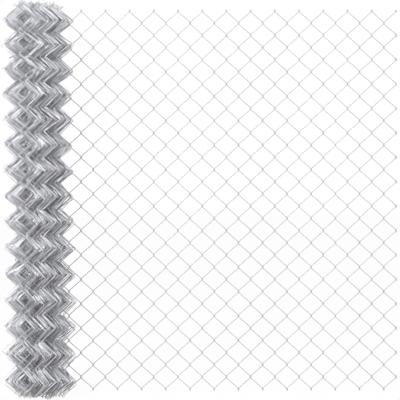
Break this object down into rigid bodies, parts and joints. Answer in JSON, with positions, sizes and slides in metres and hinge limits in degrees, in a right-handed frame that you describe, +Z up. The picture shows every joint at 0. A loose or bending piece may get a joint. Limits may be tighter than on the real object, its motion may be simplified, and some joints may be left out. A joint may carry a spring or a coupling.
{
  "type": "wire mesh fence roll",
  "caption": "Upright compact roll of diamond wire mesh fence with its free end drawn out as a flat panel of interlocked zigzag wires.",
  "frame": {"origin": "bottom centre of the bounding box", "axes": "+Z up, +X from the roll along the drawn out panel, front is -Y"},
  "size_m": [1.2694, 0.2268, 1.25],
  "materials": {
    "panel_wire": "smooth silver grey, satin",
    "wound_wire": "smooth silver grey, satin",
    "tie_wire": "dull grey"
  },
  "bodies": {
    "root": {"panel_wire_01": "panel_wire", "panel_wire_02": "panel_wire", "panel_wire_03": "panel_wire", "panel_wire_04": "panel_wire", "panel_wire_05": "panel_wire", "panel_wire_06": "panel_wire", "panel_wire_07": "panel_wire", "panel_wire_08": "panel_wire", "panel_wire_09": "panel_wire", "panel_wire_10": "panel_wire", "panel_wire_11": "panel_wire", "panel_wire_12": "panel_wire", "panel_wire_13": "panel_wire", "panel_wire_14": "panel_wire", "panel_wire_15": "panel_wire", "panel_wire_16": "panel_wire", "panel_wire_17": "panel_wire", "panel_wire_18": "panel_wire", "panel_wire_19": "panel_wire", "panel_wire_20": "panel_wire", "panel_wire_21": "panel_wire", "panel_wire_22": "panel_wire", "panel_wire_23": "panel_wire", "panel_wire_24": "panel_wire", "panel_wire_25": "panel_wire", "panel_wire_26": "panel_wire", "panel_wire_27": "panel_wire", "panel_wire_28": "panel_wire", "panel_wire_29": "panel_wire", "roll_outer_turn": "wound_wire", "roll_turn_02": "wound_wire", "roll_turn_03": "wound_wire", "roll_turn_04": "wound_wire", "roll_turn_05": "wound_wire", "roll_turn_06": "wound_wire", "tie_wire": "tie_wire"}
  },
  "joints": []
}
